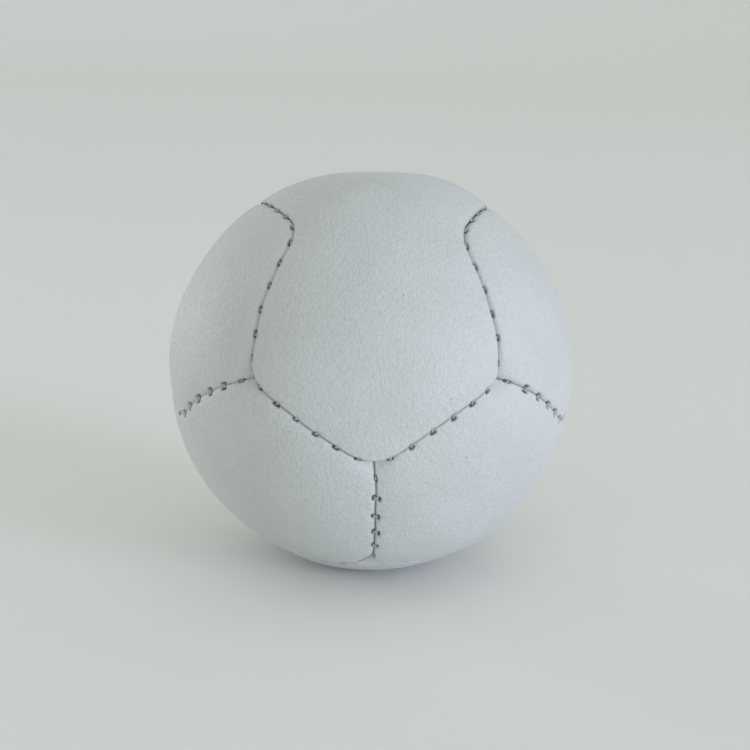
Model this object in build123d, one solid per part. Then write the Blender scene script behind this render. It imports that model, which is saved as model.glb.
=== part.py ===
from build123d import *
import os
from math import asin, atan, cos, degrees, radians, sin, sqrt, tan

# A soft ball of six leather panels, sewn with twelve lengths of thread and filled with granules.
# Each panel is two pentagons of a dodecahedron in one piece, and all six are cut with one die.
# The origin is the middle of the flat that the ball settles on, with +Z up and the front at -Y.

# Sizes, in millimetres
ball_radius = 43.0
rest_radius = 9.0
leather_thickness = 1.0
seam_gap = 0.3
fold_radius = 1.4
hem_depth = 5.0
junction_radius = 6.0
bend_radius = 10.0
thread_radius = 0.4
thread_hole_clearance = 0.1
stitch_pitch = 4.8
stitch_end = 3.2
stitch_over_depth = 0.65
stitch_under_depth = 3.5
stitch_over_bend = 1.6
stitch_under_bend = 0.8
thread_wall_clearance = 0.75
knot_radius = 0.75
filling_clearance = 0.3

# What follows from them
seam_edge = seam_gap / 2
hem_inside = seam_edge + leather_thickness
stitch_reach = hem_inside + thread_radius + thread_wall_clearance
filling_edge = stitch_reach + knot_radius + filling_clearance
ball_centre = sqrt(ball_radius**2 - rest_radius**2)

# The blocks that the panels are cut from reach from well inside the ball to past its outside
block_floor = 0.6 * ball_radius
block_height = 0.5 * ball_radius
block_width = 4 * ball_radius

# Directions from the middle of the ball to the faces of a dodecahedron that has one face on top.
# Three faces meet at each corner, so an edge turns by 60 degrees into the next one.
ring_tilt = degrees(atan(0.5))
edge_turn = radians(60)
bend_trim = bend_radius * tan(edge_turn / 2)


def face(azimuth, elevation):
    turn = radians(azimuth)
    tilt = radians(elevation)
    return Vector(cos(turn) * cos(tilt), sin(turn) * cos(tilt), sin(tilt))


def upper(azimuth):
    return face(azimuth, ring_tilt)


def lower(azimuth):
    return face(azimuth, -ring_tilt)


def corner(*faces):
    return sum(faces, Vector(0, 0, 0)).normalized()


top = face(0, 90)
bottom = face(0, -90)

# The die: the panel of the top face and of the upper face at azimuth 0, with the faces round it
crown_sides = [upper(72), upper(144), upper(-144), upper(-72)]
apron = upper(0)
apron_sides = [upper(72), upper(-72), lower(36), lower(-36)]
waists = [corner(top, apron, upper(72)), corner(top, apron, upper(-72))]
bends = [corner(top, upper(72), upper(144)), corner(top, upper(-72), upper(-144))]
nape = corner(top, upper(144), upper(-144))
hips = [corner(apron, upper(72), lower(36)), corner(apron, upper(-72), lower(-36))]
chin = corner(apron, lower(36), lower(-36))
panel_middle = (top + apron).normalized()

# The seams on the die's side of positive Y, each as the corners that it runs through
long_seam = [nape, bends[0], waists[0], hips[0]]
short_seam = [hips[0], chin]

# Each panel is the die turned so that its top and azimuth 0 faces come to these two faces
panels = {
    "panel_top_front": (top, upper(-90)),
    "panel_bottom_back": (bottom, lower(90)),
    "panel_left_upper": (upper(-162), upper(126)),
    "panel_right_upper": (upper(-18), upper(54)),
    "panel_left_lower": (lower(162), lower(-126)),
    "panel_right_lower": (lower(18), lower(-54)),
}


def placed(piece, panel):
    crown, skirt = panels[panel]
    across = (skirt - crown * skirt.dot(crown)).normalized()
    return Plane((0, 0, ball_centre), x_dir=across, z_dir=crown) * piece


def globe(radius):
    """A ball whose own poles and seam lie away from the die's panel."""
    return Plane((0, 0, 0), x_dir=-panel_middle, z_dir=(0, 1, 0)) * Sphere(radius)


def pentagon_wedge(middle, sides, partner, inset):
    """A pyramid frustum over one pentagon, inset from its seams but not from its partner."""
    seat = Plane(middle * (block_floor + block_height / 2), z_dir=middle)
    wedge = seat * Box(block_width, block_width, block_height)
    for side in sides:
        inward = (middle - side).normalized()
        wedge = split(wedge, Plane(inward * inset, z_dir=inward), keep=Keep.TOP)
    return split(wedge, Plane((0, 0, 0), z_dir=(middle - partner).normalized()), keep=Keep.TOP)


def panel_wedge(inset):
    """Both pentagons of the die in one, with its upright corners rounded in step with the inset."""
    wedge = pentagon_wedge(top, crown_sides, apron, inset)
    wedge = wedge + pentagon_wedge(apron, apron_sides, top, inset)
    rounding = [(ends, junction_radius - inset) for ends in [nape, chin, *hips]]
    rounding += [(ends, bend_radius - inset) for ends in bends]
    rounding += [(ends, bend_radius + inset) for ends in waists]
    for ends, radius in rounding:
        wedge = fillet(wedge.edges().filter_by(Axis((0, 0, 0), ends)), radius)
    return wedge


def domed(inset, radius, rim):
    """The die's wedge capped by a ball of this radius, with the rim of the cap rounded."""
    dome = panel_wedge(inset) & globe(radius)
    rim_edges = [edge for edge in dome.edges() if abs((edge @ 0.5).length - radius) < 0.001]
    return fillet(rim_edges, rim)


def straight_stretch(start, end, start_trim, end_trim):
    """(length, place at a distance) of a seam along a great circle, trimmed at its ends."""
    left = start.cross(end).normalized()
    forward = left.cross(start)
    first = asin(start_trim / ball_radius)
    last = radians(start.get_angle(end)) - asin(end_trim / ball_radius)

    def place(distance):
        turn = first + distance / ball_radius
        return start * cos(turn) + forward * sin(turn), left

    return (last - first) * ball_radius, place


def bent_stretch(before, middle, after):
    """(length, place at a distance) of the round bend of a seam at one corner."""
    arriving = before.cross(middle).normalized().cross(middle)
    leaving = middle.cross(after).normalized().cross(middle)
    inward = (leaving - arriving * arriving.dot(leaving)).normalized()

    def place(distance):
        turn = distance / bend_radius
        along = arriving * (bend_radius * sin(turn) - bend_trim)
        flat = along + inward * (bend_radius * (1 - cos(turn)))
        out = flat + middle * sqrt(ball_radius**2 - flat.dot(flat))
        return out.normalized(), middle.cross(arriving * cos(turn) + inward * sin(turn))

    return bend_radius * edge_turn, place


def stitches(seam):
    """Evenly spaced (outward, leftward) directions along a seam, one for each stitch."""
    stretches = []
    for i in range(len(seam) - 1):
        start_trim = bend_trim if i > 0 else 0
        end_trim = bend_trim if i < len(seam) - 2 else 0
        stretches.append(straight_stretch(seam[i], seam[i + 1], start_trim, end_trim))
        if end_trim:
            stretches.append(bent_stretch(seam[i], seam[i + 1], seam[i + 2]))
    sewn = sum(length for length, place in stretches) - 2 * stitch_end
    steps = round(sewn / stitch_pitch)
    result = []
    for i in range(steps + 1):
        distance = stitch_end + i * sewn / steps
        for length, place in stretches:
            if distance <= length:
                break
            distance -= length
        result.append(place(distance))
    return result


def stitch_point(stitch, aside, depth):
    outward, leftward = stitch
    return outward * (ball_radius - depth) + leftward * aside


def tube(points, bends_at_points, radius):
    path = FilletPolyline(*points, radius=bends_at_points)
    return sweep(Plane(path @ 0, z_dir=path % 0) * Circle(radius), path=path)


def stitch_hole(stitch, side):
    """The way of the thread through one panel's folded edge, at one stitch."""
    points = [
        stitch_point(stitch, 0, stitch_over_depth),
        stitch_point(stitch, side * stitch_reach, stitch_over_depth),
        stitch_point(stitch, side * stitch_reach, stitch_under_depth),
    ]
    return tube(points, [stitch_over_bend], thread_radius + thread_hole_clearance)


def panel():
    """The leather of one panel: a dome with turned-in edges and a hole at every stitch."""
    leather = domed(seam_edge, ball_radius, fold_radius) - globe(ball_radius - hem_depth)
    leather -= domed(hem_inside, ball_radius - leather_thickness, fold_radius - leather_thickness)
    holes = [stitch_hole(stitch, -1) for stitch in stitches(long_seam) + stitches(short_seam)]
    return leather - holes - [mirror(hole, about=Plane.XZ) for hole in holes]


def thread(seam):
    """One unbroken thread that crosses the seam at each stitch, with a knot at both ends."""
    places = stitches(seam)
    points = []
    side = 1
    for stitch in places:
        for aside, depth in [
            (side, stitch_under_depth),
            (side, stitch_over_depth),
            (-side, stitch_over_depth),
            (-side, stitch_under_depth),
        ]:
            points.append(stitch_point(stitch, aside * stitch_reach, depth))
        side = -side
    radii = [stitch_over_bend, stitch_over_bend, stitch_under_bend, stitch_under_bend] * len(places)
    strand = tube(points, radii[: len(points) - 2], thread_radius)
    for stitch, spot in [(places[0], points[0]), (places[-1], points[-1])]:
        outward, leftward = stitch
        strand += Plane(spot, x_dir=leftward, z_dir=outward) * Sphere(knot_radius)
    return strand


def filling():
    """The granules as one body: a core inside the hems, with a pad in the hollow of each panel."""
    body = Pos(0, 0, ball_centre) * Sphere(ball_radius - hem_depth - filling_clearance)
    pad = panel_wedge(filling_edge) & globe(ball_radius - leather_thickness - filling_clearance)
    for name in panels:
        body += placed(pad, name)
    floor = leather_thickness + filling_clearance
    return split(body, Plane((0, 0, floor)), keep=Keep.TOP)


def flattened(leather):
    """The bottom panel, pressed flat where the ball rests, at the leather's full thickness."""
    middle = Pos(0, 0, ball_centre) * Sphere(ball_radius - leather_thickness / 2)
    press = split(middle, Plane((0, 0, leather_thickness)), keep=Keep.BOTTOM)
    return split(leather + press, Plane.XY, keep=Keep.TOP)


# Each thread by its two panels, with the panel whose die it follows first, and the side of that die
long_threads = [
    ("panel_top_front", "right_upper", 1),
    ("panel_top_front", "left_upper", -1),
    ("panel_bottom_back", "right_lower", 1),
    ("panel_bottom_back", "left_lower", -1),
    ("panel_left_upper", "left_lower", 1),
    ("panel_right_upper", "right_lower", -1),
]
short_threads = [
    ("panel_top_front", "right_lower", 1),
    ("panel_top_front", "left_lower", -1),
    ("panel_bottom_back", "right_upper", 1),
    ("panel_bottom_back", "left_upper", -1),
    ("panel_left_upper", "right_upper", -1),
    ("panel_left_lower", "right_lower", -1),
]

os.makedirs("parts", exist_ok=True)

die_panel = panel()
for name in panels:
    leather = placed(die_panel, name)
    if name == "panel_bottom_back":
        leather = flattened(leather)
    export_step(leather, f"parts/{name}.step")

for seam, threads in [(long_seam, long_threads), (short_seam, short_threads)]:
    strand = thread(seam)
    mirrored = mirror(strand, about=Plane.XZ)
    for first, second, side in threads:
        piece = placed(strand if side > 0 else mirrored, first)
        export_step(piece, f"parts/thread_{first.removeprefix('panel_')}_to_{second}.step")

export_step(filling(), "parts/granule_filling.step")
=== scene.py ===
"""The looks of a soft, hand-sewn leather ball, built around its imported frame.

Six waisted leather panels are sewn edge to edge over a filling of granules. Each panel is a surface
carried inwards from its own seam line, each thread a twisted strand that follows its stitches, and
soft pulls on the whole ball give it the uneven shape of a sewn thing. All sizes are in metres.
"""

import logging
from dataclasses import dataclass
from enum import Enum
from functools import cached_property
from math import acos, asin, atan, cos, degrees, pi, radians, sin, sqrt, tan

import bpy
import numpy as np
from bpy.types import Material, Mesh, NodeSocket, Object
from mathutils import Matrix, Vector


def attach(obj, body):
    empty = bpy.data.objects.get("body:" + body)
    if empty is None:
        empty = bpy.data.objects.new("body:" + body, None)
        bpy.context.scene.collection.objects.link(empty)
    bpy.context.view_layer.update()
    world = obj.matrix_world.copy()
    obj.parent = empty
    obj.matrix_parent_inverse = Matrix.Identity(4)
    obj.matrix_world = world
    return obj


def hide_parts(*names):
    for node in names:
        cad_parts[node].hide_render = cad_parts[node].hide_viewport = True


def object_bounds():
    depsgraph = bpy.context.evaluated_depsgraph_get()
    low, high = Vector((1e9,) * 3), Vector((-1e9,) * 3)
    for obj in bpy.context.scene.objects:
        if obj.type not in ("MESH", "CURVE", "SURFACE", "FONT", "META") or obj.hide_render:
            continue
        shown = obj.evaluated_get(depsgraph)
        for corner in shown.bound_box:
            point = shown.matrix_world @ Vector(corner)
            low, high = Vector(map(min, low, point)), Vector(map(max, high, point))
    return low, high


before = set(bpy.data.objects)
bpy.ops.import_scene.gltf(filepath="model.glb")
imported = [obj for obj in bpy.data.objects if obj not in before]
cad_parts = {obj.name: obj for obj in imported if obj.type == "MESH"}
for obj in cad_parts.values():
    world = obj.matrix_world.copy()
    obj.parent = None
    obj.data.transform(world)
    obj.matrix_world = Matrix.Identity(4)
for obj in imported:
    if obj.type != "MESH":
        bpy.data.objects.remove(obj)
cad_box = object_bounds()

MM = 0.001
BODY = "root"
log = logging.getLogger("leather_ball")
Array = np.ndarray

# Three faces meet at each corner of the dodecahedron, so a seam turns by twice this angle there
HALF_TURN = radians(30)

# Far below any size here: it keeps a direction from being nought over nought
TINY = 1e-9


def unit(vectors: Array) -> Array:
    """Vectors scaled to length one, along their last axis."""
    return vectors / np.linalg.norm(vectors, axis=-1, keepdims=True)


def dot(vectors: Array, others: Array) -> Array:
    """The scalar products of vectors along their last axis, which is kept."""
    return np.sum(vectors * others, axis=-1, keepdims=True)


def distances(path: Array) -> Array:
    """How far along a path each of its points is."""
    return np.concatenate([[0.0], np.cumsum(np.linalg.norm(np.diff(path, axis=0), axis=1))])


def face(azimuth: float, elevation: float) -> Array:
    """The direction at an azimuth from +X and an elevation, both in degrees."""
    turn, tilt = radians(azimuth), radians(elevation)
    return np.array([cos(turn) * cos(tilt), sin(turn) * cos(tilt), sin(tilt)])


RING = degrees(atan(0.5))
TOP = face(0, 90)
BOTTOM = face(0, -90)


def upper(azimuth: float) -> Array:
    """A face direction of the dodecahedron's upper ring."""
    return face(azimuth, RING)


def lower(azimuth: float) -> Array:
    """A face direction of the dodecahedron's lower ring."""
    return face(azimuth, -RING)


def corner(*faces: Array) -> Array:
    """The corner where three faces of the dodecahedron meet."""
    return unit(np.sum(faces, axis=0))


def toward(here: Array, there: Array) -> Array:
    """The direction along the ball from one place to another."""
    return unit(there - here * (here @ there))


class Corner(Enum):
    """A panel's corners where three panels meet, by their place in its loop and their radius if it leads."""

    NAPE = (0, 6.0 * MM)
    HIP_OUT = (3, 3.5 * MM)
    CHIN = (4, 8.5 * MM)
    HIP_BACK = (5, 6.5 * MM)

    def __init__(self, index: int, radius: float) -> None:
        """Names the two numbers."""
        self.index, self.radius = index, radius


class Run(Enum):
    """The four runs of seam round a panel on their right, by their first and last corners and stitches."""

    LONG_OUT = (0, 3, 19)
    SHORT_OUT = (3, 4, 6)
    SHORT_BACK = (4, 5, 6)
    LONG_BACK = (5, 8, 19)

    def __init__(self, start: int, end: int, stitches: int) -> None:
        """Names the three numbers."""
        self.start, self.end, self.stitches = start, end, stitches


@dataclass(frozen=True)
class EdgeShape:
    """How a panel's edge was rolled and sewn.

    Attributes:
        roll: The roll's radius.
        steep: How steep the roll is at the seam, in radians.
        dip: How far the edge is drawn down at the seam.
        hole: How far the stitch holes are from the seam.
        show: How far the stitch holes show, from nought to one.
    """

    roll: float
    steep: float
    dip: float
    hole: float
    show: float

    def depth(self, press: float) -> float:
        """The depth of the roll's foot at a seam that draws it down so far."""
        return press * self.roll * (1 - cos(self.steep)) + self.dip


class Edge(Enum):
    """The edges found on the ball: lying over its neighbours, drawn tight, left soft or left loose."""

    LEADING = EdgeShape(0.28 * MM, radians(72), 0.16 * MM, 0.30 * MM, 0.1)
    TIGHT = EdgeShape(0.50 * MM, radians(60), 0.30 * MM, 0.62 * MM, 1.0)
    SOFT = EdgeShape(1.20 * MM, radians(50), 0.42 * MM, 0.54 * MM, 1.0)
    LOOSE = EdgeShape(1.50 * MM, radians(55), 0.42 * MM, 0.55 * MM, 1.0)


@dataclass(frozen=True)
class Seam:
    """One run of seam between two panels.

    Attributes:
        first: The panel that the run is measured on.
        second: The panel on its other side.
        run: Which run of the first panel.
        ends: How far the first and last stitches are from the run's ends.
        widen: How much wider than even the last stitches are set, and how much closer the first.
        press: How far its rolled edges are drawn down.
        tight: How open its first and last stitches are, which are pulled tight beside the junctions.
    """

    first: str
    second: str
    run: Run
    ends: tuple[float, float] = (3.2 * MM, 3.2 * MM)
    widen: float = 0.0
    press: float = 1.0
    tight: float = 0.35

    @property
    def slack(self) -> Array:
        """How open each stitch is: one, but for the first and last."""
        slack = np.ones(self.run.stitches)
        slack[[0, -1]] = self.tight
        return slack


@dataclass(frozen=True)
class Pull:
    """A soft pull on the ball's surface round one place, as hand sewing leaves it.

    Attributes:
        azimuth: Where it is, in degrees from +X.
        elevation: Where it is, in degrees up.
        reach: How far it is felt, in degrees.
        east: How far it drags the surface sideways.
        north: How far it drags the surface upwards.
        out: How far it swells the surface.
    """

    azimuth: float
    elevation: float
    reach: float
    east: float = 0.0
    north: float = 0.0
    out: float = 0.0

    def move(self, ways: Array) -> Array:
        """The pull at each direction: a bell curve of the angle from its middle.

        Args:
            ways: Unit directions from the middle of the ball.

        Returns:
            The displacement at each of them.
        """
        middle = face(self.azimuth, self.elevation)
        east = unit(np.cross(TOP, middle))
        north = np.cross(middle, east)
        nearness = np.exp((ways @ middle - 1) / radians(self.reach) ** 2)
        drag = east * self.east + north * self.north + middle * self.out
        return nearness[..., None] * drag


@dataclass(frozen=True)
class Ball:
    """The sizes that all the pieces share, and the ball's uneven shape."""

    radius: float = 43.0 * MM
    bend_radius: float = 10.0 * MM
    tuck_radius: float = 0.4 * MM
    stitch_slant: float = 0.35 * MM
    leather: float = 1.0 * MM
    rest_blend: float = 0.15 * MM
    wander: float = 0.10 * MM
    wander_length: float = 9.0 * MM
    wander_seed: int = 11
    pulls: tuple[Pull, ...] = (
        Pull(-124, 12, 13, east=0.48 * MM, north=-1.45 * MM),
        Pull(-90, -8, 13, east=-0.54 * MM, north=-0.77 * MM),
        Pull(-53, 51, 11, east=-0.01 * MM, north=-0.89 * MM),
        Pull(-126, 30, 9, east=-0.43 * MM, north=-0.52 * MM),
        Pull(-127, 48, 8, east=0.08 * MM, north=0.14 * MM),
        Pull(-137, 4, 10, east=0.01 * MM, north=0.89 * MM),
        Pull(-107, -2, 9, east=0.29 * MM, north=-0.36 * MM),
        Pull(-90, -18, 8, east=0.60 * MM, north=0.61 * MM),
        Pull(-74, 0, 9, east=-0.49 * MM, north=0.36 * MM),
        Pull(-54, 30, 9, east=-0.27 * MM, north=-0.93 * MM),
        Pull(-41, 3, 10, east=0.10 * MM, north=0.22 * MM),
        Pull(-89, -40, 8, east=0.56 * MM, north=-0.01 * MM),
        Pull(-116, -55, 9, north=-1.2 * MM),
        Pull(-64, -55, 9, north=1.0 * MM),
        Pull(-56, 10, 6, east=-1.34 * MM, north=-0.36 * MM),
        Pull(-147, -2, 7, east=-0.58 * MM, north=-0.01 * MM),
        Pull(13, 67, 9, out=0.70 * MM),
        Pull(100, 83, 9, out=-0.65 * MM),
        Pull(172, 54, 10, out=0.35 * MM),
        Pull(-177, 11, 10, out=0.45 * MM),
        Pull(-155, -46, 15, out=-0.40 * MM),
        Pull(-93, -68, 14, out=-0.40 * MM),
        Pull(-18, -28, 13, out=-0.45 * MM),
    )

    @property
    def centre(self) -> Array:
        """The middle of the ball, one radius below the top of the frame's box."""
        return np.array([0.0, 0.0, cad_box[1][2] - self.radius])

    def settled(self, points: Array, floor: float | Array = 0.0) -> Array:
        """Pulls points of a true ball into the sewn ball's shape and sets it down on its flat.

        Each pull adds its bell curve, a sum of sines makes the seams wander, and a smooth maximum
        keeps everything above the floor.

        Args:
            points: Points measured from the middle of the true ball.
            floor: The height that no point goes below.

        Returns:
            The points in the frame's own coordinates.
        """
        ways = unit(points)
        shift = sum((pull.move(ways) for pull in self.pulls), np.zeros_like(points))
        drift = self.wander * waves(ways * self.radius, self.wander_length, self.wander_seed)
        shift = shift + drift - ways * dot(drift, ways)
        placed = points + shift + self.centre
        height = placed[..., 2] - floor
        placed[..., 2] = floor + 0.5 * (height + np.sqrt(height**2 + self.rest_blend**2))
        return placed


def waves(points: Array, length: float, seed: int, count: int = 9) -> Array:
    """A smooth random field of vectors: a mean of sines along random directions.

    Args:
        points: Where it is read.
        length: The typical wavelength.
        seed: Chooses the directions and phases.
        count: How many sines are added.

    Returns:
        A vector of about unit size at each point.
    """
    draw = np.random.default_rng(seed)
    ways = unit(draw.normal(size=(count, 3))) * (2 * pi / length)
    phases = draw.uniform(0, 2 * pi, count)
    weights = draw.normal(size=(count, 3)) / sqrt(count)
    return np.sin(points @ ways.T + phases) @ weights


@dataclass(frozen=True)
class SeamLine:
    """A line of seam on the unit ball, with the directions along it and into its right-hand panel."""

    out: Array
    along: Array
    inward: Array

    @classmethod
    def trace(cls, stops: list[tuple[Array, float]], closed: bool, spacing: float) -> "SeamLine":
        """Great circles from stop to stop, with each stop rounded by an arc.

        Args:
            stops: The directions of the stops with the radii of their arcs, with the panel on the right.
            closed: Whether the last stop leads back to the first.
            spacing: The angle between points.

        Returns:
            The line's points and directions.
        """
        count = len(stops)
        places = [place for place, bend in stops]
        parts: list[tuple[Array, Array, Array]] = []
        trims = [0.0] * count
        arcs: dict[int, tuple[Array, Array, Array]] = {}
        for i in range(count) if closed else range(1, count - 1):
            here, bend = stops[i]
            arriving = -toward(here, places[i - 1])
            leaving = toward(here, places[(i + 1) % count])
            turn = acos(arriving @ leaving)
            trims[i] = bend * tan(turn / 2)
            side = toward(arriving, leaving)
            swing = np.linspace(0, turn, max(3, round(turn * bend / spacing)), endpoint=False)[:, None]
            flat = arriving * (bend * np.sin(swing) - trims[i]) + side * bend * (1 - np.cos(swing))
            along = arriving * np.cos(swing) + side * np.sin(swing)
            arcs[i] = (flat + here * np.sqrt(1 - dot(flat, flat)), along, -np.cross(here, along))
        for i in range(count if closed else count - 1):
            here, there = places[i], places[(i + 1) % count]
            first = asin(trims[i])
            last = acos(here @ there) - asin(trims[(i + 1) % count])
            steps = max(0, round((last - first) / spacing))
            ends = not closed and i == count - 2
            angle = np.linspace(first, last, steps + ends, endpoint=ends)[:, None]
            ahead = toward(here, there)
            out = here * np.cos(angle) + ahead * np.sin(angle)
            left = unit(np.cross(here, there))
            parts.append((out, ahead * np.cos(angle) - here * np.sin(angle), np.zeros_like(out) - left))
            if (i + 1) % count in arcs:
                parts.append(arcs[(i + 1) % count])
        return cls(*(np.concatenate(group) for group in zip(*parts)))

    def spread(self, ends: tuple[float, float], count: int, widen: float) -> "SeamLine":
        """Places along the line, at even steps or at steps that widen by a parabola.

        Args:
            ends: The angles from the line's ends to the first and last place.
            count: How many places there are.
            widen: How much wider than even the last step is, and how much closer the first.

        Returns:
            The places and their directions, read off the line by distance.
        """
        travelled = distances(self.out)
        share = np.linspace(0, 1, count)
        wanted = ends[0] + (travelled[-1] - sum(ends)) * (share - widen * share * (1 - share))

        def read(columns: Array) -> Array:
            """The unit vectors at the wanted distances."""
            return unit(np.stack([np.interp(wanted, travelled, column) for column in columns.T], axis=1))

        return SeamLine(read(self.out), read(self.along), read(self.inward))


@dataclass(frozen=True)
class Junction:
    """Where three panels meet: one leads with a rounded corner, and two tuck in beside a stem of seam.

    Attributes:
        place: Where the three seams would meet if they were straight.
        into_lead: The direction from there into the leading panel.
        radius: The leading corner's radius, as an angle.
    """

    place: Array
    into_lead: Array
    radius: float

    @property
    def tip(self) -> Array:
        """Where the stem meets the middle of the leading corner's arc."""
        return unit(self.place + self.into_lead * self.radius * (1 / cos(HALF_TURN) - 1))

    def shoulder(self, way: Array) -> Array:
        """Where the tangents of half the leading corner's arc meet, on the seam that leaves this way."""
        return unit(self.place + way * self.radius * (tan(HALF_TURN) - tan(HALF_TURN / 2)))

    def is_stem(self, way: Array) -> bool:
        """Whether the seam that leaves this way is the stem, which runs straight away from the lead."""
        return way @ self.into_lead < -0.9


def ways_along(loop: Array, index: int) -> list[Array]:
    """The directions from one corner of a loop to the corners before and after it."""
    return [toward(loop[index], loop[beside % len(loop)]) for beside in (index - 1, index + 1)]


@dataclass(frozen=True)
class Cut:
    """One panel's place: the faces that the die's top and azimuth 0 faces go to, and its edge."""

    crown: Array
    skirt: Array
    edge: Edge


@dataclass
class Pattern:
    """How the panels meet: all six are cut with one die, and those listed first lead at the junctions.

    Attributes:
        ball: The shared sizes.
        panels: The panels by name.
        seams: The runs of seam between them.
        fineness: The distance between the points of a seam that stitches are set along.
    """

    ball: Ball
    panels: dict[str, Cut]
    seams: tuple[Seam, ...]
    fineness: float = 0.1 * MM

    def corners(self, name: str) -> Array:
        """The eight corners of a panel in order, with the panel on the right: the die's, turned into place.

        Args:
            name: Which panel.

        Returns:
            The corners' directions.
        """
        side = [
            corner(TOP, upper(72), upper(144)),
            corner(TOP, upper(0), upper(72)),
            corner(upper(0), upper(72), lower(36)),
        ]
        mirrored = [c * np.array([1, -1, 1]) for c in reversed(side)]
        nape = corner(TOP, upper(144), upper(-144))
        chin = corner(upper(0), lower(36), lower(-36))
        cut = self.panels[name]
        across = toward(cut.crown, cut.skirt)
        turned = np.stack([across, np.cross(cut.crown, across), cut.crown])
        return np.array([nape, *side, chin, *mirrored]) @ turned

    def middle(self, name: str) -> Array:
        """The direction of the middle of a panel's waist."""
        return unit(self.panels[name].crown + self.panels[name].skirt)

    def junction(self, place: Array) -> Junction:
        """The junction at a corner, led by the first panel listed that reaches it.

        Args:
            place: The corner's direction.

        Returns:
            The junction.
        """
        for name in self.panels:
            loop = self.corners(name)
            for meeting in Corner:
                index = meeting.index
                if loop[index] @ place > 0.999:
                    inward = unit(sum(ways_along(loop, index)))
                    return Junction(place, inward, meeting.radius / self.ball.radius)
        raise ValueError("no panel reaches this place")

    def outline(self, name: str, spacing: float) -> SeamLine:
        """A panel's closed seam line, rounded where it leads or bends and tucked in where it follows.

        Args:
            name: Which panel.
            spacing: The distance between points.

        Returns:
            The line.
        """
        loop = self.corners(name)
        meeting = [member.index for member in Corner]
        stops: list[tuple[Array, float]] = []
        for index, place in enumerate(loop):
            if index not in meeting:
                stops.append((place, self.ball.bend_radius / self.ball.radius))
                continue
            junction = self.junction(place)
            ways = ways_along(loop, index)
            stems = [junction.is_stem(way) for way in ways]
            tuck = self.ball.tuck_radius / self.ball.radius
            spare = tuck / tan(HALF_TURN / 2) if any(stems) else 0.0
            shoulders = [(junction.shoulder(way), junction.radius - spare) for way in ways]
            tip = (junction.tip, tuck)
            stops += [tip if stem else shoulder for stem, shoulder in zip(stems, shoulders)]
        return SeamLine.trace(stops, True, spacing / self.ball.radius)

    def tucked_tips(self, name: str) -> list[Array]:
        """The tips of the junctions where a panel follows another."""
        met = [self.junction(self.corners(name)[member.index]) for member in Corner]
        return [junction.tip for junction in met if self.middle(name) @ (junction.tip - junction.place) < 0]

    def line(self, seam: Seam) -> SeamLine:
        """One seam from the tip of one junction to the tip of the next.

        Args:
            seam: Which seam.

        Returns:
            The line, with the seam's first panel on the right.
        """
        loop = self.corners(seam.first)
        places = [loop[index % 8] for index in range(seam.run.start, seam.run.end + 1)]
        first, last = self.junction(places[0]), self.junction(places[-1])
        stops = [(place, self.ball.bend_radius / self.ball.radius) for place in places[1:-1]]
        out, back = toward(places[0], places[1]), toward(places[-1], places[-2])
        if not first.is_stem(out):
            stops.insert(0, (first.shoulder(out), first.radius))
        if not last.is_stem(back):
            stops.append((last.shoulder(back), last.radius))
        stops = [(first.tip, 0.0), *stops, (last.tip, 0.0)]
        return SeamLine.trace(stops, False, self.fineness / self.ball.radius)

    def stitches(self, seam: Seam) -> SeamLine:
        """The places of one seam's stitches in order, with its first panel on the right."""
        start, end = (length / self.ball.radius for length in seam.ends)
        return self.line(seam).spread((start, end), seam.run.stitches, seam.widen)

    def sewn_round(self, name: str) -> tuple[SeamLine, Array, Array]:
        """All the stitches round a panel.

        Args:
            name: Which panel.

        Returns:
            The stitches with the panel on the right, how far each one's seam is drawn down, and how open
            each one is.
        """
        lines, press, slack = [], [], []
        for seam in self.seams:
            if name in (seam.first, seam.second):
                line = self.stitches(seam)
                turn = 1 if name == seam.first else -1
                lines.append((line.out, turn * line.along, turn * line.inward))
                press.append(np.full(len(line.out), seam.press))
                slack.append(seam.slack)
        stitches = SeamLine(*(np.concatenate(group) for group in zip(*lines)))
        return stitches, np.concatenate(press), np.concatenate(slack)


def closed_grid(name: str, rows: Array) -> Mesh:
    """A closed mesh of rings of points, with a single point in the middle of its first and last ring.

    Args:
        name: The mesh's name.
        rows: Rings of points, as an array of rings by points by three.

    Returns:
        A smooth mesh whose faces point outwards.
    """
    rings, around = rows.shape[:2]
    points = np.concatenate([rows.reshape(-1, 3), rows[0].mean(axis=0)[None], rows[-1].mean(axis=0)[None]])
    index = np.arange(rings * around).reshape(rings, around)
    beside = np.roll(index, -1, axis=1)
    quads = np.stack([index[:-1], index[1:], beside[1:], beside[:-1]], axis=-1).reshape(-1, 4)
    start = np.stack([np.full(around, rings * around), index[0], beside[0]], axis=-1)
    end = np.stack([np.full(around, rings * around + 1), beside[-1], index[-1]], axis=-1)
    triangles = np.concatenate([quads[:, [0, 1, 2]], quads[:, [0, 2, 3]], start, end])
    a, b, c = (points[triangles[:, k]] for k in range(3))
    if np.sum(a * np.cross(b, c)) < 0:
        quads, start, end = quads[:, ::-1], start[:, ::-1], end[:, ::-1]
    loops = np.concatenate([quads.ravel(), start.ravel(), end.ravel()])
    sizes = np.concatenate([np.full(len(quads), 4), np.full(2 * around, 3)])
    mesh = bpy.data.meshes.new(name)
    mesh.vertices.add(len(points))
    mesh.vertices.foreach_set("co", points.astype(np.float32).ravel())
    mesh.loops.add(len(loops))
    mesh.loops.foreach_set("vertex_index", loops.astype(np.int32))
    mesh.polygons.add(len(sizes))
    mesh.polygons.foreach_set("loop_start", np.concatenate([[0], np.cumsum(sizes)[:-1]]).astype(np.int32))
    mesh.polygons.foreach_set("use_smooth", np.ones(len(sizes), bool))
    mesh.update(calc_edges=True)
    mesh.validate()
    return mesh


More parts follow.
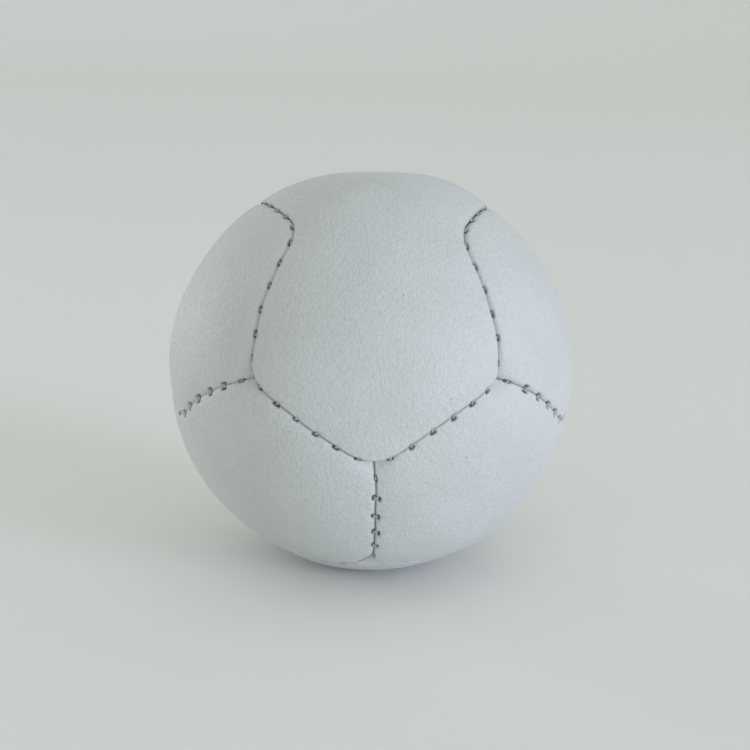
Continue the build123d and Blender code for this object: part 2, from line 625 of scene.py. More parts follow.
def add_attribute(mesh: Mesh, name: str, rows: Array) -> None:
    """Stores one number a point on a closed grid, with its end points given the nearest ring's mean.

    Args:
        mesh: A mesh made by closed_grid.
        name: The attribute's name.
        rows: The numbers, as an array of rings by points.
    """
    values = np.concatenate([rows.ravel(), [rows[0].mean(), rows[-1].mean()]]).astype(np.float32)
    mesh.attributes.new(name, "FLOAT", "POINT").data.foreach_set("value", values)


@dataclass(frozen=True)
class Value:
    """A number from a socket of a recipe's node tree, on which Python's operators add Math nodes."""

    recipe: "Recipe"
    socket: NodeSocket

    def through(self, operation: str, *values: "Value | float") -> "Value":
        """Values and plain numbers through one Math node."""
        return self.recipe.node("ShaderNodeMath", {"operation": operation}, dict(enumerate(values)))

    def __add__(self, other: "Value | float") -> "Value":
        """The sum, in either order."""
        return self.through("ADD", self, other)

    def __mul__(self, other: "Value | float") -> "Value":
        """The product, in either order."""
        return self.through("MULTIPLY", self, other)

    def __sub__(self, other: "Value | float") -> "Value":
        """The difference."""
        return self.through("SUBTRACT", self, other)

    def __rsub__(self, other: float) -> "Value":
        """The difference from a plain number."""
        return self.through("SUBTRACT", other, self)

    __radd__ = __add__
    __rmul__ = __mul__

    def ramp(self, low: float, high: float) -> "Value":
        """A smooth step from nought at low to one at high."""
        inputs = {"Value": self, "From Min": low, "From Max": high}
        return self.recipe.node("ShaderNodeMapRange", {"interpolation_type": "SMOOTHSTEP"}, inputs)


class Recipe:
    """A material whose nodes are added one call at a time."""

    def __init__(self, name: str) -> None:
        """Starts a material with nothing but its output."""
        self.material = bpy.data.materials.new(name)
        self.material.use_nodes = True
        self.tree = self.material.node_tree
        self.tree.nodes.clear()
        self.output = self.tree.nodes.new("ShaderNodeOutputMaterial")

    def node(self, kind: str, settings: dict | None = None, inputs: dict | None = None,
             output: int | str = 0) -> Value:
        """Adds any node.

        Args:
            kind: The node's type.
            settings: Its properties, set first.
            inputs: Its sockets by name or number, each with a link or a plain value.
            output: Which of its outputs is wanted, by name or number.

        Returns:
            That output.
        """
        node = self.tree.nodes.new(kind)
        for name, setting in (settings or {}).items():
            setattr(node, name, setting)
        for key, value in (inputs or {}).items():
            if isinstance(value, Value):
                self.tree.links.new(value.socket, node.inputs[key])
            else:
                node.inputs[key].default_value = value
        return Value(self, node.outputs[output])

    def place(self) -> Value:
        """The object's own coordinates."""
        return self.node("ShaderNodeTexCoord", output="Object")

    def attribute(self, name: str) -> Value:
        """A number stored on the mesh."""
        return self.node("ShaderNodeAttribute", {"attribute_name": name}, output="Fac")

    def noise(self, size: float, detail: float = 2.0, distortion: float = 0.0) -> Value:
        """Soft noise whose lumps are about a given size."""
        inputs = {"Vector": self.place(), "Scale": 1 / size, "Detail": detail, "Distortion": distortion}
        return self.node("ShaderNodeTexNoise", None, inputs)

    def cells(self, size: float, feature: str = "F1") -> Value:
        """The distance from the middles of cells about a given size apart."""
        inputs = {"Vector": self.place(), "Scale": 1 / size}
        return self.node("ShaderNodeTexVoronoi", {"feature": feature}, inputs)

    def mix(self, factor: Value, low: Value | tuple, high: Value | tuple) -> Value:
        """One colour turning into another as a factor goes from nought to one."""
        return self.node("ShaderNodeMix", {"data_type": "RGBA"}, {0: factor, 6: low, 7: high}, output=2)

    def bump(self, height: Value, depth: float, strength: float) -> Value:
        """A normal from a height, where a height of one stands for a depth in metres."""
        return self.node("ShaderNodeBump", None, {"Height": height, "Distance": depth, "Strength": strength})

    def finish(self, inputs: dict) -> Material:
        """Closes the recipe with a principled shader.

        Args:
            inputs: The shader's sockets, each with a link or a plain value.

        Returns:
            The material.
        """
        shader = self.node("ShaderNodeBsdfPrincipled", None, inputs)
        self.tree.links.new(shader.socket, self.output.inputs["Surface"])
        return self.material


Colour = tuple[float, float, float, float]


@dataclass(frozen=True)
class LeatherFinish:
    """White pebbled leather, a little soiled, with dirt and painted shade in the creases, near-black painted
    shade in the stitch holes and painted shade on the pebbles.
    """

    slot: str = "leather"
    white: Colour = (0.655, 0.690, 0.705, 1)
    worn_and_pebble_shade: Colour = (0.585, 0.615, 0.615, 1)
    # Dark colour for the real specks and dust, and also for the painted shade in the creases
    soil_and_shade: Colour = (0.16, 0.15, 0.145, 1)
    # Near-black painted shade for the inside of the stitch holes
    hole: Colour = (0.05, 0.047, 0.047, 1)
    pebble: float = 0.55 * MM
    grain_depth: float = 0.20 * MM

    @cached_property
    def material(self) -> Material:
        """Pebbles, pores and faint creases in the bump, with patches, specks, painted pebble shade, seam
        dirt with painted crease shade and painted hole shade in the colour.
        """
        recipe = Recipe("white_pebbled_leather")
        pebbles = recipe.cells(self.pebble, "SMOOTH_F1")
        patches = recipe.noise(16 * MM, detail=3.0).ramp(0.35, 0.7)
        mottle = recipe.noise(1.1 * MM, detail=4.0).ramp(0.3, 0.75)
        # Painted shade: the pebble cells, and partly the fine mottle, darken the colour as the shade of the
        # pebbled relief would; the broad patches are real tone and wear
        pebble_shade = pebbles.ramp(0.1, 0.75)
        colour = recipe.mix(patches * 0.4 + mottle * 0.3 + pebble_shade * 0.45, self.white, self.worn_and_pebble_shade)
        soiled = recipe.noise(9 * MM, detail=1.0).ramp(0.45, 0.6)
        specks = 1 - recipe.cells(4.5 * MM).ramp(0.025, 0.06)
        dust = 1 - recipe.cells(1.7 * MM).ramp(0.05, 0.16)
        colour = recipe.mix(soiled * (specks * 0.5 + dust * 0.16), colour, self.soil_and_shade)
        # Painted shade: each seam's crease is mixed towards the dark colour, partly real seam dirt and
        # partly standing in for the shade in the groove
        crease = 1 - recipe.attribute("seam").ramp(0.0, 0.5)
        colour = recipe.mix(crease * recipe.attribute("soil_and_shade") * 0.28, colour, self.soil_and_shade)
        # Painted shade: the notches are painted near black, standing in for the shade inside the stitch
        # holes
        colour = recipe.mix(recipe.attribute("notch") * 0.95, colour, self.hole)
        pores = recipe.noise(0.22 * MM, detail=3.0)
        folds = recipe.noise(4.5 * MM, detail=4.0, distortion=1.2)
        height = pores * 0.45 - pebbles * 0.8 + folds * 0.7
        return recipe.finish({
            "Base Color": colour,
            "Roughness": 0.5 + mottle * 0.12 + crease * 0.15,
            "Normal": recipe.bump(height, self.grain_depth, 0.8),
            "Specular IOR Level": 0.35,
            "Sheen Weight": 0.12,
            "Sheen Roughness": 0.45,
        })


@dataclass(frozen=True)
class ThreadFinish:
    """Waxed twisted thread, off-white, rubbed grey in patches and with painted shade between its plies."""

    slot: str = "thread"
    clean: Colour = (0.52, 0.51, 0.50, 1)
    dirt_and_ply_shade: Colour = (0.22, 0.21, 0.205, 1)

    @cached_property
    def material(self) -> Material:
        """Painted shade in the valleys between the plies and dirt in patches, with fine fibres in the bump.
        """
        recipe = Recipe("waxed_sewing_thread")
        # Painted shade: the thread is darkened in the valleys between its plies, where shade falls
        ply_valley_shade = 1 - recipe.attribute("ply").ramp(0.2, 0.85)
        patches = recipe.noise(1.6 * MM, detail=3.0).ramp(0.35, 0.7)
        fibres = recipe.noise(0.12 * MM, detail=3.0)
        return recipe.finish({
            "Base Color": recipe.mix(ply_valley_shade * 0.6 + patches * 0.35, self.clean, self.dirt_and_ply_shade),
            "Roughness": 0.45 + fibres * 0.2,
            "Normal": recipe.bump(fibres, 0.05 * MM, 0.5),
            "Specular IOR Level": 0.4,
        })


@dataclass(frozen=True)
class GranuleFinish:
    """Small plastic granules, packed tight."""

    slot: str = "granules"
    pale: Colour = (0.78, 0.78, 0.75, 1)
    dull: Colour = (0.62, 0.61, 0.57, 1)

    @cached_property
    def material(self) -> Material:
        """A tint for each granule from its stored number, with a fine satin bump."""
        recipe = Recipe("plastic_granules")
        satin = recipe.noise(0.3 * MM)
        return recipe.finish({
            "Base Color": recipe.mix(recipe.attribute("tint"), self.pale, self.dull),
            "Roughness": 0.35 + satin * 0.15,
            "Normal": recipe.bump(satin, 0.03 * MM, 0.4),
        })


Finish = LeatherFinish | ThreadFinish | GranuleFinish


def put(name: str, mesh: Mesh, finish: Finish, node: str) -> Object:
    """Puts a finished piece into the scene in place of its node.

    Args:
        name: The piece's name.
        mesh: Its mesh, in place.
        finish: Its finish.
        node: The node that it stands for.

    Returns:
        The piece.
    """
    piece = bpy.data.objects.new(name, mesh)
    mesh.materials.append(finish.material)
    bpy.context.scene.collection.objects.link(piece)
    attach(piece, BODY)
    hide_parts(node)
    log.info("%s: %d faces, stands for %s", name, len(mesh.polygons), node)
    return piece


def smoothed(loop: Array, reach: float) -> Array:
    """A closed line of points averaged along itself with a bell curve, by damping its fine waves.

    Args:
        loop: The points in order.
        reach: The bell curve's width, in points.

    Returns:
        The smoother line.
    """
    tones = np.fft.rfft(loop, axis=0)
    damping = np.exp(-0.5 * (2 * pi * np.arange(len(tones)) * reach / len(loop)) ** 2)
    return np.fft.irfft(tones * damping[:, None], len(loop), axis=0)


def evened(loop: Array, reach: float) -> Array:
    """A closed line of points slid along itself, so that the gaps between them change slowly.

    Each point's distance along the line is split into an even share and a rest, and the rest is smoothed.

    Args:
        loop: The points in order.
        reach: How far a gap is shared out, in points.

    Returns:
        The moved points.
    """
    place = distances(np.concatenate([loop, loop[:1]]))
    place, length = place[:-1], place[-1]
    even = length * np.arange(len(loop)) / len(loop)
    wanted = even + smoothed((place - even)[:, None], reach)[:, 0]
    return np.stack([np.interp(wanted, place, column, period=length) for column in loop.T], axis=1)


def eased(least: float, share: float | Array) -> float | Array:
    """A value that goes from least to one as a share goes from nought to one."""
    return least + (1 - least) * share


@dataclass(frozen=True)
class EdgeSection:
    """The section across a panel's edge, as rows from its middle out over the roll, down, and back inside.

    Attributes:
        step: For each row, which line in from the seam it follows.
        roll: For each row, how deep the roll has gone down.
        depth: For each row, the depth below the roll.
        share: For each row, the share of the way from that line to the panel's middle.
        outside: For each row, whether it is on the outside.
        insets: The distance of each line from the seam.
    """

    step: Array
    roll: Array
    depth: Array
    share: Array
    outside: Array
    insets: Array

    @classmethod
    def rolled(cls, half_gap: float, shape: EdgeShape, hem: float, thick: float) -> "EdgeSection":
        """A round roll that steepens to the seam, an upright hem and a lining at the leather's thickness.

        Args:
            half_gap: The gap from the seam to the hem.
            shape: The shape of the roll.
            hem: How deep the hem hangs.
            thick: How deep the lining is.

        Returns:
            The section.
        """
        close = np.concatenate([[0.0, 0.05], np.arange(0.11, 1.15, 0.07)])
        wide = [1.24, 1.36, 1.5, 1.7, 2.0, 2.4, 2.9, 3.5, 4.2, 5.0]
        insets = half_gap + np.concatenate([close, wide]) * MM
        lines = np.arange(len(insets))
        lean = np.clip(sin(shape.steep) - (insets - half_gap) / shape.roll, 0, 1)
        rolled = shape.roll * (1 - np.sqrt(1 - lean**2))
        dome = 1 - np.linspace(0.02, 1, 20)[:-1] ** 1.1
        hang = (hem - rolled[0]) * np.array([0.2, 0.45, 0.7, 1.0])
        lining = np.searchsorted(insets, [half_gap + thick, 1.3 * MM, 2.0 * MM, 3.4 * MM, 4.9 * MM])
        rise = hem * np.array([1.0, 0.5])
        back = np.linspace(0, 0.98, 9)[1:]
        # Each stretch of rows by its step, roll, depth and share
        over = [(lines[-1], 0, 0, dome), (lines[::-1], rolled[::-1], 0, 0), (0, rolled[0], hang, 0)]
        under = [(lining[0], 0, rise, 0), (lining, 0, thick, 0), (lines[-1], 0, thick, back)]
        rows = [np.stack(np.broadcast_arrays(*stretch)) for stretch in over + under]
        step, roll, depth, share = np.concatenate(rows, axis=1)
        outside = np.arange(len(step)) < len(dome) + len(lines) + len(hang)
        return cls(step.astype(int), roll, depth, share, outside, insets)


@dataclass
class LeatherPanel:
    """One leather panel, with its rolled edge, turned-in hem, stitch notches and puckers.

    Attributes:
        name: The panel's place on the ball.
        seed: Chooses how each stitch differs.
        press_blend: Over how many points one seam's press turns into the next one's.
        hidden: What is left of a pucker where the holes don't show.
        closed: What is left of a notch's width at a stitch pulled tight.
        clean: What is left of the seam's dirt and painted crease shade where the holes don't show.
    """

    name: str
    seed: int
    spacing: float = 0.19 * MM
    half_gap: float = 0.012 * MM
    hem: float = 3.8 * MM
    lining: float = 0.9 * MM
    smoothing: float = 0.9
    press_blend: float = 8.0
    dip_length: float = 1.6 * MM
    lip: float = 0.06 * MM
    lip_length: float = 0.15 * MM
    dimple: float = 1.25 * MM
    dimple_reach: float = 2.7 * MM
    pucker: float = 0.30 * MM
    pucker_reach: float = 0.85 * MM
    hidden: float = 0.3
    closed: float = 0.3
    clean: float = 0.4
    wrinkles: int = 8
    wrinkle_gaps: tuple[float, float] = (1.1 * MM, 2.6 * MM)
    gather: float = 0.03 * MM
    gather_start: float = 0.5 * MM
    gather_length: float = 3.5 * MM
    notch_depth: float = 0.72 * MM
    notch_length: float = 0.74 * MM
    notch_width: float = 0.30 * MM
    notch_edge: float = 2.2
    swell: float = 0.25 * MM
    swell_reach: float = 7.0 * MM
    ripple: float = 0.03 * MM
    ripple_length: float = 13.0 * MM
    mark_reach: float = 6.0 * MM

    def fronts(self, outline: SeamLine, insets: Array, ball: Ball) -> Array:
        """Lines at growing distances in from the seam, each a step square to the last, smoothed and evened.

        Args:
            outline: The panel's seam line.
            insets: The distances.
            ball: The shared sizes.

        Returns:
            The directions of the lines' points, by line and point.
        """
        ways, inward, done = outline.out, outline.inward, 0.0
        lines = []
        for inset in insets:
            ways = ways + inward * ((inset - done) / ball.radius)
            reach = self.smoothing * sqrt((inset - done) * inset) / self.spacing
            ways = unit(evened(smoothed(ways, reach), 2 * reach))
            inward = -unit(np.cross(ways, np.roll(ways, -1, axis=0) - np.roll(ways, 1, axis=0)))
            lines.append(ways)
            done = inset
        return np.array(lines)

    def gathered(self, ways: Array, from_seam: Array) -> Array:
        """Faint wrinkles in from the seam: sines along it that fade out as they go in or draw together.

        Args:
            ways: The directions of the panel's points, by row and by place along the seam.
            from_seam: Each point's distance from the seam.

        Returns:
            The added depth at each point.
        """
        draw = np.random.default_rng(self.seed + 100)
        count, columns = self.wrinkles, from_seam.shape[1]
        turns = np.round(columns * self.spacing / draw.uniform(*self.wrinkle_gaps, count))
        angle = 2 * pi * np.arange(columns)[:, None] / columns
        phases = draw.uniform(0, 2 * pi, count)
        lines = np.sin(angle * turns + phases) @ draw.normal(size=count) / sqrt(count)
        fade = np.exp(-from_seam / self.gather_length) - np.exp(-from_seam / self.gather_start)
        apart = np.linalg.norm(np.roll(ways, -2, axis=1) - np.roll(ways, 2, axis=1), axis=-1)
        room = np.clip(2 * apart / np.median(apart[np.argmin(from_seam[:, 0])]) - 1, 0, 1)
        return self.gather * lines * fade * room

    def sewn(self, ways: Array, stitches: SeamLine, slack: Array, shape: EdgeShape,
             ball: Ball) -> tuple[Array, Array]:
        """How the stitches press the edge, as bell curves round each stitch and its notch.

        Args:
            ways: The directions of the panel's points.
            stitches: All the panel's stitches.
            slack: How open each stitch is.
            shape: The shape of the edge.
            ball: The shared sizes.

        Returns:
            The added depth and the mask of the notches, for each point.
        """
        draw = np.random.default_rng(self.seed)
        count = len(stitches.out)
        pucker = self.pucker * draw.uniform(0.6, 1.4, count) * eased(self.hidden, shape.show)
        length = self.notch_length * draw.uniform(0.8, 1.2, count)
        place = shape.hole * draw.uniform(0.85, 1.15, count) * slack
        width = self.notch_width * eased(self.closed, slack)
        nearest = np.argmax(ways @ stitches.out.T, axis=-1)
        apart = (ways - stitches.out[nearest]) * ball.radius
        along = dot(apart, stitches.along[nearest])[..., 0]
        across = dot(apart, stitches.inward[nearest])[..., 0]
        pressed = (pucker * slack)[nearest] * np.exp(-(along**2 + across**2) / self.pucker_reach**2)
        slanted = along + 0.5 * ball.stitch_slant
        away = (slanted / length[nearest]) ** 2 + ((across - place[nearest]) / width[nearest]) ** 2
        notch = shape.show * np.exp(-(away**self.notch_edge))
        return pressed + self.notch_depth * notch, notch

    def build(self, pattern: Pattern, finish: LeatherFinish) -> Object:
        """Carries the section round the seam line and closes it at the panel's middle.

        Args:
            pattern: How the panels meet.
            finish: The leather.

        Returns:
            The finished panel.
        """
        ball = pattern.ball
        outline = pattern.outline(self.name, self.spacing)
        shape = pattern.panels[self.name].edge.value
        section = EdgeSection.rolled(self.half_gap, shape, self.hem, self.lining)
        share = section.share[:, None, None]
        ways = self.fronts(outline, section.insets, ball)[section.step]
        ways = unit(ways * (1 - share) + pattern.middle(self.name) * share)
        nearest = np.array([np.max(row @ outline.out.T, axis=1) for row in ways])
        from_seam = ball.radius * np.sqrt(np.maximum(0, 2 - 2 * nearest))
        stitches, press, slack = pattern.sewn_round(self.name)
        press = press[np.argmax(outline.out @ stitches.out.T, axis=1)]
        drawn = smoothed(press[:, None], self.press_blend)[:, 0]
        pressed, notch = self.sewn(ways, stitches, slack, shape, ball)
        outside = section.outside[:, None]
        hanging = np.clip(1 - section.depth / self.hem, 0, 1)[:, None]
        sunk = shape.dip * np.exp(-from_seam / self.dip_length)
        sunk += self.lip * np.exp(-from_seam / self.lip_length)
        for tip in pattern.tucked_tips(self.name):
            nearness = np.exp((ways @ tip - 1) * 2 * (ball.radius / self.dimple_reach) ** 2)
            sunk += self.dimple * nearness * hanging
        sunk -= self.swell * (1 - np.exp(-from_seam / self.swell_reach))
        depth = section.roll[:, None] * drawn + section.depth[:, None] + sunk
        depth += (pressed + self.gathered(ways, from_seam)) * hanging * outside
        points = ways * (ball.radius - depth)[..., None]
        points += ways * (self.ripple * waves(points, self.ripple_length, self.seed)[..., :1])
        name = f"leather_{self.name}"
        mesh = closed_grid(name, ball.settled(points, np.where(outside, 0.0, ball.leather)))
        add_attribute(mesh, "seam", np.minimum(from_seam, self.mark_reach) / MM)
        # The notch mask also paints the stitch holes near black in the material, as painted shade
        add_attribute(mesh, "notch", notch * outside)
        # How dark the seam dirt and painted crease shade are, darker where a seam is drawn further down
        add_attribute(mesh, "soil_and_shade", np.broadcast_to(drawn**2 * eased(self.clean, shape.show), notch.shape))
        piece = put(name, mesh, finish, f"panel_{self.name}")
        return piece


@dataclass
class SeamThread:
    """One length of twisted thread, sewn through both panels along one run of seam.

    Attributes:
        seam: The run of seam.
        seed: Chooses how each stitch differs.
        rest: How far it rests from the higher towards the lower edge, from nought to one.
        pulled: How much deeper a stitch is that is pulled quite tight.
        leg: How far aside its legs under the leather begin, in distances of the stitch holes.
    """

    seam: Seam
    seed: int
    radius: float = 0.33 * MM
    rest: float = 0.25
    pulled: float = 0.4 * MM
    uneven: float = 0.03 * MM
    leg: float = 1.4
    plies: int = 3
    ply_relief: float = 0.16
    twist_length: float = 1.5 * MM
    around: int = 14
    fineness: int = 6
    knot: float = 1.1
    knot_length: float = 0.8 * MM

    def route(self, pattern: Pattern) -> tuple[Array, Array]:
        """The points that the thread passes through, and a direction across it at each.

        Each stitch rises from under one panel, crosses the seam and goes down under the other, where the
        thread runs on to the next stitch. Sideways it is measured in the distances of the stitch holes.

        Args:
            pattern: How the panels meet.

        Returns:
            The points and the directions, from the ball's middle.
        """
        ball = pattern.ball
        draw = np.random.default_rng(self.seed)
        stitches = pattern.stitches(self.seam)
        count = len(stitches.out)
        first, second = (pattern.panels[name].edge.value for name in (self.seam.first, self.seam.second))
        half_aside = np.array([2.3, 1.6, 1.1, 0.82, 0.68, 0.54, 0.36, 0.13])
        half_depth = np.array([2.7, 2.2, 1.5, 0.95, 0.55, 0.26, 0.09, 0.02]) * MM
        aside = np.concatenate([-half_aside, [0.0], half_aside[::-1]])
        depth = np.concatenate([half_depth, [0.0], half_depth[::-1]])
        shallow, deep = sorted(shape.depth(self.seam.press) for shape in (first, second))
        depth = depth + (1 - self.rest) * shallow + self.rest * deep
        slant = np.clip(aside, -1, 1) * 0.5 * ball.stitch_slant
        side = np.where(np.arange(count) % 2 == 0, 1.0, -1.0)[:, None]
        into, along = aside * side, -slant * side
        slack = self.seam.slack[:, None]
        into = into * np.where(into > 0, first.hole, second.hole) * np.where(np.abs(aside) < 1, slack, 1)
        lift = depth + draw.normal(0, self.uneven, (count, 1)) + self.pulled * (1 - slack)
        out, way, inward = (part[:, None, :] for part in (stitches.out, stitches.along, stitches.inward))
        points = out * (ball.radius - lift)[..., None] + inward * into[..., None] + way * along[..., None]
        legs = np.abs(aside) > self.leg
        across = np.where(legs[None, :, None], inward * side[..., None], way)
        return points.reshape(-1, 3), across.reshape(-1, 3)

    def build(self, pattern: Pattern, finish: ThreadFinish) -> Object:
        """Carries a ring of three plies along a smooth curve through the route, with a knot at each end.

        Args:
            pattern: How the panels meet.
            finish: The thread.

        Returns:
            The finished thread.
        """
        path, across = (smooth_path(points, self.fineness) for points in self.route(pattern))
        along = unit(np.gradient(path, axis=0))
        across = unit(across - along * dot(across, along))
        other = np.cross(along, across)
        travelled = distances(path)
        angle = np.linspace(0, 2 * pi, self.around, endpoint=False)
        twist = 2 * pi * travelled / self.twist_length
        ply = np.abs(np.cos(0.5 * self.plies * (angle[None, :] - twist[:, None])))
        from_end = np.minimum(travelled, travelled[-1] - travelled)
        thick = self.radius * (1 + self.knot * np.exp(-((from_end / self.knot_length) ** 2)))
        reach = thick[:, None] * (1 - self.ply_relief + self.ply_relief * ply)
        rings = path[:, None] + reach[..., None] * (
            np.cos(angle)[None, :, None] * across[:, None] + np.sin(angle)[None, :, None] * other[:, None]
        )
        name = f"thread_{self.seam.first}_{self.seam.second}"
        mesh = closed_grid(name, pattern.ball.settled(rings))
        add_attribute(mesh, "ply", ply)
        return put(name, mesh, finish, f"thread_{self.seam.first}_to_{self.seam.second}")


def smooth_path(points: Array, fineness: int) -> Array:
    """A smooth curve through points, as the cubic that takes its slope at each from its neighbours.

    Args:
        points: The points, in order.
        fineness: How many points come from each stretch.

    Returns:
        The curve's points.
    """
    before = np.concatenate([points[:1], points[:-2]])
    start, end = points[:-1], points[1:]
    after = np.concatenate([points[2:], points[-1:]])
    t = np.linspace(0, 1, fineness, endpoint=False)[None, :, None]
    before, start, end, after = (group[:, None] for group in (before, start, end, after))
    slope_in, slope_out = 0.5 * (end - before), 0.5 * (after - start)
    rise = 3 * (end - start) - 2 * slope_in - slope_out
    fall = 2 * (start - end) + slope_in + slope_out
    curve = start + slope_in * t + rise * t**2 + fall * t**3
    return np.concatenate([curve.reshape(-1, 3), points[-1:]])


@dataclass
class GranuleFilling:
    """The granules that fill the ball, packed under the leather and clear of its hems.

    Attributes:
        room: The share of a square of its width that a granule has on the surface.
        cap: The radius of its round top as a share of its width.
        scatter: How far the granules are off an even spiral.
        clearance: The gap under the leather, which grows to hem_clearance within hem_reach of a seam.
    """

    size: float = 3.2 * MM
    room: float = 0.8
    cap: float = 0.62
    cap_height: float = 0.8
    scatter: float = 0.011
    clearance: float = 0.35 * MM
    hem_clearance: float = 4.9 * MM
    hem_reach: float = 3.4 * MM
    hem_blend: float = 1.5 * MM
    rows: int = 220
    columns: int = 360
    seed: int = 5

    def build(self, pattern: Pattern, finish: GranuleFinish) -> Object:
        """Round caps on a ball, one for each granule, sunk where the hems hang.

        Args:
            pattern: How the panels meet.
            finish: The granules.

        Returns:
            The finished filling.
        """
        ball = pattern.ball
        tilt = np.linspace(0, pi, self.rows + 2)[1:-1, None]
        turn = np.linspace(0, 2 * pi, self.columns, endpoint=False)[None, :]
        level = np.sin(tilt)
        ways = np.stack([level * np.cos(turn), level * np.sin(turn), np.cos(tilt) + 0 * turn], axis=-1)
        count = round(4 * pi * ball.radius**2 / (self.room * self.size**2))
        order = np.arange(count) + 0.5
        height = 1 - 2 * order / count
        swing = order * pi * (3 - sqrt(5))
        level = np.sqrt(1 - height**2)
        seeds = np.stack([level * np.cos(swing), level * np.sin(swing), height], axis=1)
        seeds = unit(seeds + np.random.default_rng(self.seed).normal(0, self.scatter, seeds.shape))
        nearness = ways.reshape(-1, 3).astype(np.float32) @ seeds.T.astype(np.float32)
        chosen = np.argmax(nearness, axis=1).reshape(ways.shape[:2])
        apart = ball.radius * np.sqrt(np.maximum(0, 2 - 2 * nearness.max(axis=1))).reshape(ways.shape[:2])
        cap = np.sqrt(np.maximum(0, (self.cap * self.size) ** 2 - apart**2)) - self.cap * self.size
        inset = pattern_inset(ways, pattern) * ball.radius
        blend = np.clip((inset - self.hem_reach) / self.hem_blend, 0, 1)
        deep = ball.leather + self.clearance
        surface = ball.radius - deep - (self.hem_clearance - deep) * (1 - blend)
        points = ways * (surface + self.cap_height * cap)[..., None]
        mesh = closed_grid("granules_packed", ball.settled(points, np.full((self.rows, 1), deep)))
        tints = np.random.default_rng(self.seed + 1).uniform(0, 1, count)
        add_attribute(mesh, "tint", tints[chosen])
        piece = put("granules_packed", mesh, finish, "granule_filling")
        return piece


def pattern_inset(ways: Array, pattern: Pattern) -> Array:
    """How far each direction lies inside its own panel, as the least distance to the panel's seam planes.

    Args:
        ways: Unit directions.
        pattern: How the panels meet.

    Returns:
        The distances on the unit ball.
    """
    centres = np.array([half for cut in pattern.panels.values() for half in (cut.crown, cut.skirt)])
    apart = centres @ centres.T
    owner = np.argmax(ways @ centres.T, axis=-1)
    partner = np.arange(len(centres)) ^ 1
    best = np.full(ways.shape[:-1], np.inf)
    for other in range(len(centres)):
        seams = unit(centres - centres[other] + TINY)
        distance = dot(ways, seams[owner])[..., 0]
        skipped = (owner == other) | (partner[owner] == other) | (apart[owner, other] < 0)
        best = np.where(skipped, best, np.minimum(best, distance))
    return best


@dataclass(frozen=True)
class Lamp:
    """A square soft light.

    Attributes:
        azimuth: Where it stands, in degrees from the front towards the right.
        elevation: How high it stands, in degrees.
        distance: How far it is from the ball.
        size: The length of its side.
        spread: The angle that its light stays within, in degrees.
        power: Its power in watts.
    """

    name: str
    azimuth: float
    elevation: float
    distance: float
    size: float
    spread: float
    power: float
    colour: tuple[float, float, float]

    def place(self, target: Array) -> None:
        """Stands the light where it belongs, turned to a target.

        Args:
            target: What it shines at.
        """
        data = bpy.data.lights.new(self.name, "AREA")
        data.shape = "SQUARE"
        data.size = self.size
        data.spread = radians(self.spread)
        data.energy = self.power
        data.color = self.colour
        lamp = bpy.data.objects.new(self.name, data)
        lamp.matrix_world = stand(target, self.azimuth, self.elevation, self.distance, 0.0)
        bpy.context.scene.collection.objects.link(lamp)


def stand(target: Array, azimuth: float, elevation: float, distance: float, roll: float) -> Matrix:
    """The placing of a camera or light that looks at a target.

    Args:
        target: What it looks at.
        azimuth: Degrees from the front towards the right.
        elevation: Degrees up.
        distance: How far away it stands.
        roll: Degrees that it is turned about its own view.

    Returns:
        Its world matrix.
    """
    back = face(azimuth - 90, elevation)
    level = face(azimuth, 0)
    rise = np.cross(back, level)
    lean = radians(roll)
    right = level * cos(lean) + rise * sin(lean)
    matrix = np.eye(4)
    matrix[:3, :4] = np.stack([right, np.cross(back, right), back, target + back * distance], axis=1)
    return Matrix(matrix.tolist())


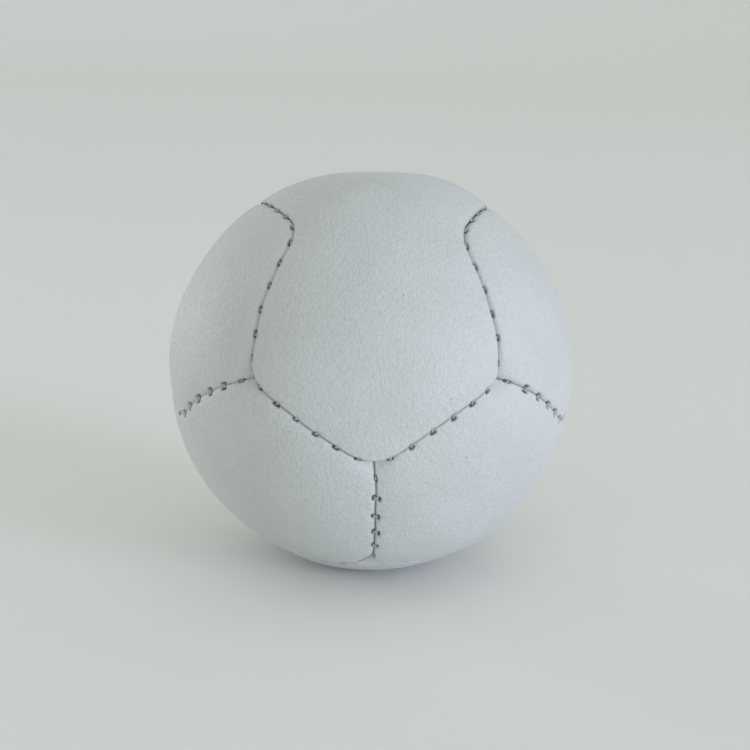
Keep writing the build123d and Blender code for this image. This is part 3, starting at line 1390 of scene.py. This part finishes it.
@dataclass(frozen=True)
class Studio:
    """A plain pale floor, soft light from the right and a camera at the photograph's angle."""

    azimuth: float = -1.66
    elevation: float = 14.25
    roll: float = 1.34
    distance: float = 330.4 * MM
    nearest: float = 10.0 * MM
    picture: float = 750.0
    focal_pixels: float = 1528.0
    ball_pixel: tuple[float, float] = (371.6, 370.4)
    sensor: float = 36.0
    floor_colour: Colour = (0.90, 0.905, 0.89, 1)
    floor_size: float = 14.0
    floor_depth: float = 1.6
    sweep_radius: float = 1.4
    sweep_steps: int = 24
    sky: Colour = (0.966, 1.0, 0.955, 1)
    sky_strength: float = 0.627
    lamps: tuple[Lamp, ...] = (
        Lamp("key_right", 57.0, 9.0, 5.0, 1.72, 50.0, 10.8, (0.80, 0.82, 1.0)),
        Lamp("rim_left", -128.0, 5.0, 2.2, 0.35, 24.0, 0.16, (1.0, 1.0, 0.98)),
    )

    def build(self, ball: Ball) -> None:
        """Sets the floor, the sky, the lamps and the camera.

        Args:
            ball: The shared sizes.
        """
        self.lay_floor()
        world = bpy.data.worlds.new("soft_sky")
        world.use_nodes = True
        background = world.node_tree.nodes["Background"]
        background.inputs["Color"].default_value = self.sky
        background.inputs["Strength"].default_value = self.sky_strength
        scene = bpy.context.scene
        scene.world = world
        for lamp in self.lamps:
            lamp.place(ball.centre)
        data = bpy.data.cameras.new("camera")
        data.sensor_width = self.sensor
        data.lens = self.sensor * self.focal_pixels / self.picture
        data.shift_x = (self.picture / 2 - self.ball_pixel[0]) / self.picture
        data.shift_y = (self.ball_pixel[1] - self.picture / 2) / self.picture
        data.clip_start = self.nearest
        camera = bpy.data.objects.new("camera", data)
        camera.matrix_world = stand(ball.centre, self.azimuth, self.elevation, self.distance, self.roll)
        scene.collection.objects.link(camera)
        scene.camera = camera
        scene.view_settings.view_transform = "Standard"

    def lay_floor(self) -> None:
        """A pale matt floor under the ball, which rises behind it in a wide curve."""
        turn = np.linspace(0, pi / 2, self.sweep_steps)
        back = self.floor_depth + self.sweep_radius * np.sin(turn)
        rise = self.sweep_radius * (1 - np.cos(turn))
        depth = np.concatenate([[-self.floor_size / 2], back, back[-1:]])
        height = np.concatenate([[0.0], rise, [self.floor_size / 2]])
        sides = np.array([-self.floor_size / 2, self.floor_size / 2])
        count = len(depth)
        points = np.stack([np.repeat(sides, count), np.tile(depth, 2), np.tile(height, 2)], axis=1)
        row = np.arange(count - 1)
        quads = np.stack([row, row + count, row + count + 1, row + 1], axis=1)
        mesh = bpy.data.meshes.new("floor")
        mesh.from_pydata(points.tolist(), [], quads.tolist())
        mesh.polygons.foreach_set("use_smooth", np.ones(count - 1, bool))
        recipe = Recipe("pale_floor")
        mesh.materials.append(recipe.finish({"Base Color": self.floor_colour, "Roughness": 0.9}))
        floor = bpy.data.objects.new("floor", mesh)
        bpy.context.scene.collection.objects.link(floor)


def main() -> None:
    """Builds the filling, the panels, the threads and the studio, in that order."""
    logging.basicConfig(level=logging.INFO, format="%(message)s")
    panels = {
        "top_front": Cut(TOP, upper(-90), Edge.LEADING),
        "right_lower": Cut(lower(18), lower(-54), Edge.TIGHT),
        "left_lower": Cut(lower(162), lower(-126), Edge.SOFT),
        "right_upper": Cut(upper(-18), upper(54), Edge.LOOSE),
        "left_upper": Cut(upper(-162), upper(126), Edge.LOOSE),
        "bottom_back": Cut(BOTTOM, lower(90), Edge.SOFT),
    }
    seams = (
        Seam("top_front", "right_upper", Run.LONG_OUT, (2.2 * MM, 2.8 * MM), 0.11, press=1.55, tight=0.65),
        Seam("top_front", "left_upper", Run.LONG_BACK, (3.6 * MM, 2.4 * MM), tight=0.65),
        Seam("bottom_back", "right_lower", Run.LONG_OUT, press=1.5),
        Seam("bottom_back", "left_lower", Run.LONG_BACK, press=0.6),
        Seam("left_upper", "left_lower", Run.LONG_OUT, (3.9 * MM, 2.8 * MM), press=0.55),
        Seam("right_upper", "right_lower", Run.LONG_BACK),
        Seam("top_front", "right_lower", Run.SHORT_OUT, tight=0.8),
        Seam("top_front", "left_lower", Run.SHORT_BACK, (3.2 * MM, 2.4 * MM), tight=0.85),
        Seam("bottom_back", "right_upper", Run.SHORT_OUT),
        Seam("bottom_back", "left_upper", Run.SHORT_BACK),
        Seam("left_upper", "right_upper", Run.SHORT_BACK),
        Seam("left_lower", "right_lower", Run.SHORT_BACK, (4.3 * MM, 3.2 * MM)),
    )
    pattern = Pattern(Ball(), panels, seams)
    GranuleFilling().build(pattern, GranuleFinish())
    leather, thread = LeatherFinish(), ThreadFinish()
    for seed, name in enumerate(panels, start=21):
        LeatherPanel(name, seed).build(pattern, leather)
    for seed, seam in enumerate(seams, start=40):
        SeamThread(seam, seed).build(pattern, thread)
    Studio().build(pattern.ball)


if __name__ == "__main__":
    main()
